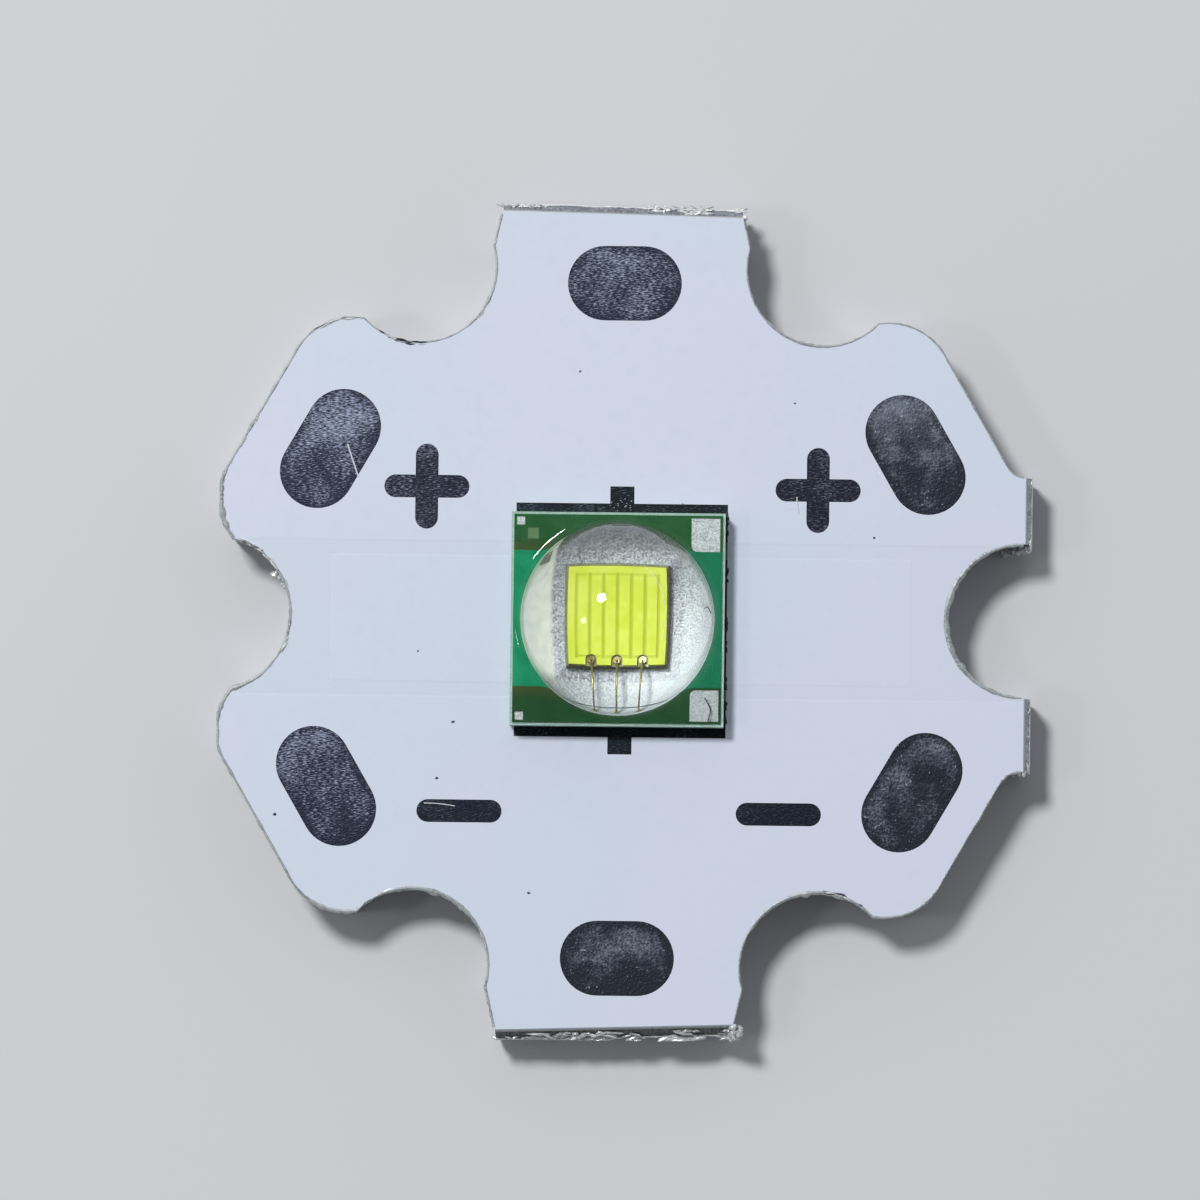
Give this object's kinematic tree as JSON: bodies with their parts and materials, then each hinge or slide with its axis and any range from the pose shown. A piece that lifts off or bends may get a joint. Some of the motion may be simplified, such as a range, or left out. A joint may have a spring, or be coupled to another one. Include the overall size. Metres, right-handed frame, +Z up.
{
  "type": "star board power led",
  "caption": "Domed power LED emitter soldered to a star-shaped metal-core board with screw notches, solder pads and polarity marks.",
  "frame": {"origin": "on the flat underside of the board, below the middle of the printed face", "axes": "+Z up through the dome, +Y towards the positive pads, +X towards the snapped right edge"},
  "size_m": [0.0189, 0.0195, 0.0047],
  "materials": {
    "aluminium_core": "punched and snapped edges",
    "insulation": "matt",
    "copper": "bright",
    "white_mask": "satin lacquer",
    "tin": "dull grey with fine grain",
    "solder": "satin",
    "gold_land": "satin",
    "white_ceramic": "matt",
    "silver": "fine grain",
    "green_mask": "gloss lacquer",
    "chip_solder": "grainy",
    "chip": "matt",
    "phosphor": "matt",
    "dark_chip": "satin",
    "gold_wire": "bright",
    "silicone": "clear and glossy"
  },
  "bodies": {
    "root": {"core_plate": "aluminium_core", "dielectric_layer": "insulation", "heat_spreader_copper": "copper", "positive_copper": "copper", "negative_copper": "copper", "solder_mask": "white_mask", "positive_strip_tin": "tin", "negative_strip_tin": "tin", "positive_solder": "solder", "negative_solder": "solder", "heat_solder": "solder", "positive_land": "gold_land", "negative_land": "gold_land", "heat_land": "gold_land", "positive_vias": "copper", "negative_vias": "copper", "ceramic_body": "white_ceramic", "chip_metal": "silver", "negative_band": "silver", "green_mask": "green_mask", "die_attach": "chip_solder", "led_die": "chip", "phosphor_coat": "phosphor", "protection_chip": "dark_chip", "dome_lens": "silicone", "upper_left_pad": "tin", "upper_right_pad": "tin", "lower_left_pad": "tin", "lower_right_pad": "tin", "top_pad": "tin", "bottom_pad": "tin", "plus_mark_left": "tin", "plus_mark_right": "tin", "minus_mark_left": "tin", "minus_mark_right": "tin", "bond_wire_left": "gold_wire", "bond_wire_middle": "gold_wire", "bond_wire_right": "gold_wire"}
  },
  "joints": []
}
